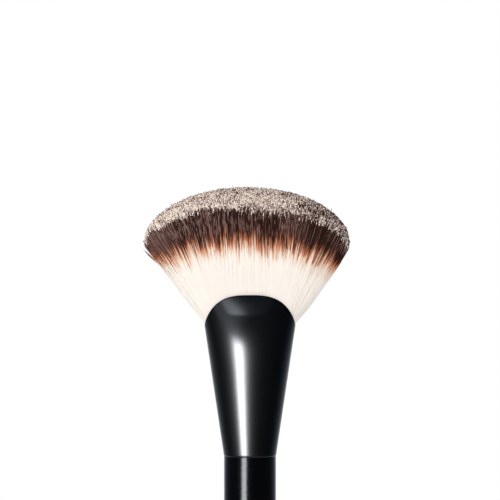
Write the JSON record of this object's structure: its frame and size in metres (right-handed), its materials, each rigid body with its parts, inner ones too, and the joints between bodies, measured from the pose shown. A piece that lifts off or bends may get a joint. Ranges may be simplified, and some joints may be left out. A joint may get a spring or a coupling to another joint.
{
  "type": "fan makeup brush",
  "caption": "Fan makeup brush: turned black handle, gloss black round-to-oval ferrule with an arched mouth, and a wide domed fan of cream hair with dark dyed tips.",
  "frame": {"origin": "centre of the flat butt face of the handle", "axes": "+Z along the handle from the butt to the hair tips, X across the fan, front of the brush faces -Y"},
  "size_m": [0.0604, 0.0214, 0.1878],
  "materials": {
    "handle_lacquer": "turned wood under a satin black soft-touch lacquer",
    "ferrule_lacquer": "drawn aluminium under a gloss black lacquer",
    "tenon_adhesive": "set clear glue",
    "root_plug": "cast amber resin",
    "binding_thread": "twisted thread",
    "hair": "fine synthetic filaments, cream with orange-brown to dark brown dyed ends, dusted tips"
  },
  "bodies": {
    "root": {"handle": "handle_lacquer", "ferrule": "ferrule_lacquer", "tenon_adhesive": "tenon_adhesive", "root_plug": "root_plug", "binding_thread": "binding_thread", "hair_lock_front_1": "hair", "hair_lock_front_2": "hair", "hair_lock_front_3": "hair", "hair_lock_front_4": "hair", "hair_lock_front_5": "hair", "hair_lock_front_6": "hair", "hair_lock_front_7": "hair", "hair_lock_front_8": "hair", "hair_lock_front_9": "hair", "hair_lock_middle_1": "hair", "hair_lock_middle_2": "hair", "hair_lock_middle_3": "hair", "hair_lock_middle_4": "hair", "hair_lock_middle_5": "hair", "hair_lock_middle_6": "hair", "hair_lock_middle_7": "hair", "hair_lock_middle_8": "hair", "hair_lock_middle_9": "hair", "hair_lock_middle_10": "hair", "hair_lock_back_1": "hair", "hair_lock_back_2": "hair", "hair_lock_back_3": "hair", "hair_lock_back_4": "hair", "hair_lock_back_5": "hair", "hair_lock_back_6": "hair", "hair_lock_back_7": "hair", "hair_lock_back_8": "hair", "hair_lock_back_9": "hair"}
  },
  "joints": []
}
